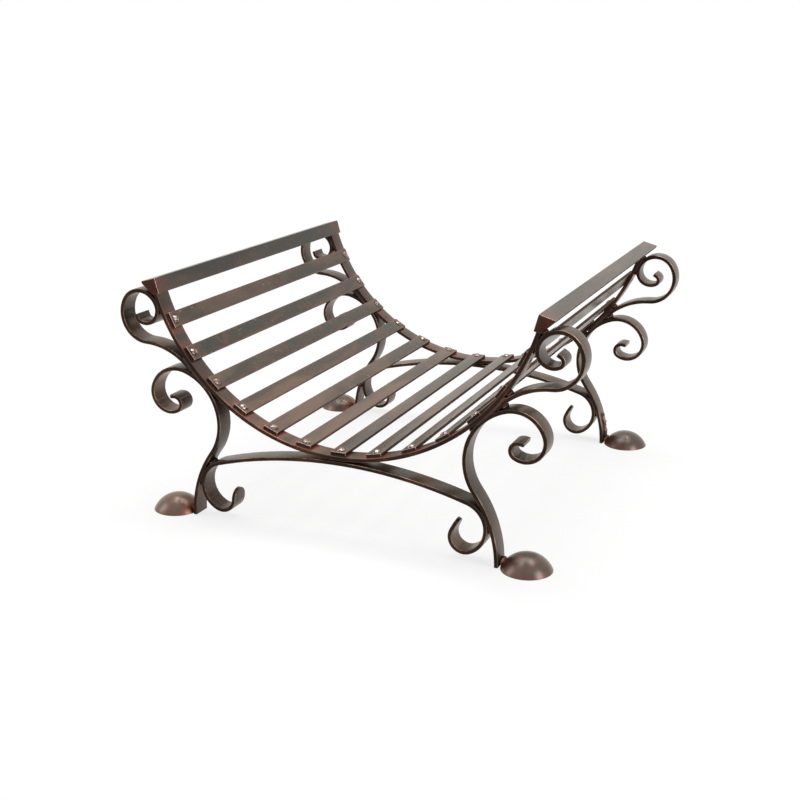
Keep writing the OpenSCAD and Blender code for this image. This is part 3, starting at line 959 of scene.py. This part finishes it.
def weld_steel(name, stops):
    """Heat-tinted weld metal."""
    material, tree = start_material(name)
    where = add(tree, "TexCoord").outputs["Object"]
    tint = add(tree, "TexNoise", {"Vector": where, "Scale": scale_of(TINT_PATCH_MM), "Detail": 4.0})
    colour = set_ramp(add(tree, "ValToRGB", {"Fac": tint}), stops)
    steel = add(tree, "BsdfPrincipled", {"Base Color": colour, **WELD_SHINE})
    add(tree, "OutputMaterial", {"Surface": steel})
    return material


bead_steel = weld_steel("heat_tinted_weld", [(0.35, "#2A1912"), (0.52, "#5A3420"), (0.68, "#7A5A48")])
fill_steel = weld_steel("burnt_weld_fill", [(0.35, "#21130C"), (0.52, "#351D12"), (0.72, "#573220")])
brushed_weld = weld_steel("brushed_weld", [(0.34, "#33201A"), (0.48, "#6A4C44"), (0.64, "#A48C84")])
print("weld metals:", bead_steel.name, fill_steel.name, brushed_weld.name)

# %% Lay the beads
CROWN_SEAM_MM = 15.0
CROWN_BEAD_MM = 1.0
FOOT_BEAD_MM = 3.0
SUNK_SHARE = 0.62
PROUD_MM = 0.6

for node_name in [f"{end}_{kind}_welds" for end in ends for kind in ("rail", "arch")] + ["foot_welds"]:
    beads = bmesh.new()
    for k, (low, high) in enumerate(solids_of(node_name)):
        size = high - low
        middle = (low + high) / 2
        if size.x > CROWN_SEAM_MM * MM:
            for y in (low.y, high.y):
                start, end_point = Vector((low.x, y, middle.z)), Vector((high.x, y, middle.z))
                add_bead(beads, start, end_point, CROWN_BEAD_MM, seed=31.0 + k + y)
        else:
            radius_mm = SUNK_SHARE * max(size.x, size.z) / 2 / MM + PROUD_MM
            if node_name == "foot_welds":
                radius_mm = FOOT_BEAD_MM
            start, end_point = Vector((middle.x, low.y, middle.z)), Vector((middle.x, high.y, middle.z))
            add_bead(beads, start, end_point, radius_mm, seed=17.0 * k + len(node_name))
    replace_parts(finish_piece(f"{node_name}_rippled", beads, bead_steel), node_name)
print("beads laid across the joints")

# %% [markdown]
# ## End plates
# A small plate is welded over each open end of an angle. It covers the rail's end too, so from the front it
# shows as one dark triangle with a short lower edge. It was cut by hand, so its outline wavers a little. It
# is made as an outline in side view, pushed through the plate's thickness, with its edges filed by a bevel.

# %% Cut the end plates
PLATE_OUTLINE_MM = [
    (245.6, 304.8), (264.1, 299.6), (263.4, 297.3), (250.2, 285.8), (242.8, 285.5), (240.3, 286.2),
]
LOWER_EDGE = (4, 3)
PLATE_FRONT_MM = 254.0
PLATE_BACK_MM = 249.6
PLATE_EDGE_MM = 0.7
PLATE_CUT_MM = 1.5
PLATE_WAVER_MM = 0.16
SEAM_BEAD_MM = 1.2


def plate_edge(seed):
    """The plate's outline as short steps with a little waver, in mm."""
    steps = []
    for (x0, z0), (x1, z1) in zip(PLATE_OUTLINE_MM, PLATE_OUTLINE_MM[1:] + PLATE_OUTLINE_MM[:1]):
        count = max(2, round(math.hypot(x1 - x0, z1 - z0) / PLATE_CUT_MM))
        for k in range(count):
            x, z = x0 + (x1 - x0) * k / count, z0 + (z1 - z0) * k / count
            waver = PLATE_WAVER_MM * wobble(x / 3, z / 3, seed)
            steps.append((x + waver, z - waver))
    return steps


for c, corner in enumerate(corners):
    mirror_x = -1 if corner.endswith("left") else 1
    mirror_y = -1 if corner.startswith("front") else 1
    cut_plate = bmesh.new()
    outline = plate_edge(3.0 * c)
    front, back = (
        [cut_plate.verts.new(Vector((mirror_x * x, mirror_y * y, z)) * MM) for x, z in outline]
        for y in (PLATE_FRONT_MM, PLATE_BACK_MM)
    )
    cut_plate.faces.new(front)
    cut_plate.faces.new(list(reversed(back)))
    for k in range(len(outline)):
        n = (k + 1) % len(outline)
        cut_plate.faces.new((front[k], back[k], back[n], front[n]))
    piece = finish_piece(f"{corner}_cut_end_plate", cut_plate, plate_steel)
    file_edges(piece, PLATE_EDGE_MM, segments=3)
    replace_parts(piece, f"{corner}_end_plate")
    seam = bmesh.new()
    y = mirror_y * (FRAME_Y_MM + FRAME_WIDTH_MM / 2)
    inner, outer = (
        Vector((mirror_x * PLATE_OUTLINE_MM[k][0], y, PLATE_OUTLINE_MM[k][1])) * MM for k in LOWER_EDGE
    )
    add_bead(seam, inner, outer, SEAM_BEAD_MM, seed=90.0 + c)
    finish_piece(f"{corner}_plate_seam", seam, fill_steel)
print("end plates:", len(corners))

# %% [markdown]
# ### Fill in the wedges and a weld that climbs
# Where the upper scroll leaves the wedge between rail and leg, the smith filled the last narrow gap with
# weld, along the rail's outer side. At the rear right foot a weld ran on and climbs the leg's outer face
# for 3 to 4 cm. Both joints are arcs in side view, so the beads follow them by angle: one round the rails'
# centre, the other round the centre of the leg's sweep.

# %% Lay the fill and the climbing weld
FILL_RADIUS_MM = 261.4
FILL_DEGREES = (43.0, 46.3, 49.6, 53.0)
FILL_BEAD_MM = 2.1
FILL_OVERLAP = 0.18
FILL_SUNK_MM = 1.6
FILL_FACE_Y_MM = FRAME_WIDTH_MM / 2 - FILL_SUNK_MM
SWEEP_CENTRE_X_MM = 57.0
LEG_OUTER_RADIUS_MM = 149.6
CLIMB_DEGREES = (3.2, 5.8, 8.2, 10.9, 13.0, 16.4)
CLIMB_BEAD_MM = 3.6
CLIMB_SWELL = 0.3
CLIMB_OVERLAP = 0.22
CLIMB_Y_MM = 241.0
CLIMB_SWAY_MM = 1.0

for end in ends:
    fill = bmesh.new()
    frame_y = -FRAME_Y_MM if end == "front" else FRAME_Y_MM
    for turned in (-1, 1):
        for y in (-FILL_FACE_Y_MM, FILL_FACE_Y_MM):
            points = []
            for degrees in FILL_DEGREES:
                turn = math.radians(degrees)
                x = turned * FILL_RADIUS_MM * math.sin(turn)
                z = RAIL_CENTRE_Z_MM - FILL_RADIUS_MM * math.cos(turn)
                points.append(Vector((x, y + frame_y, z)) * MM)
            for k, (a, b) in enumerate(zip(points, points[1:])):
                reach = (b - a) * FILL_OVERLAP
                add_bead(fill, a - reach, b + reach, FILL_BEAD_MM, seed=71.0 + k + turned + y)
    finish_piece(f"{end}_wedge_fill", fill, fill_steel)

climb = bmesh.new()
points = []
for k, degrees in enumerate(CLIMB_DEGREES):
    turn = math.radians(degrees)
    x = SWEEP_CENTRE_X_MM + LEG_OUTER_RADIUS_MM * math.cos(turn)
    y = CLIMB_Y_MM + (CLIMB_SWAY_MM if k % 2 else -CLIMB_SWAY_MM)
    points.append(Vector((x, y, LEG_OUTER_RADIUS_MM * math.sin(turn))) * MM)
for k, (a, b) in enumerate(zip(points, points[1:])):
    reach = (b - a) * CLIMB_OVERLAP
    radius_mm = CLIMB_BEAD_MM * (1 + CLIMB_SWELL * wobble(k * 1.7, 9.1, 0))
    add_bead(climb, a - reach, b + reach, radius_mm, seed=50.0 + 3 * k)
finish_piece("rear_right_foot_long_weld", climb, brushed_weld)
print("climbs to z =", round(points[-1].z / MM), "mm")
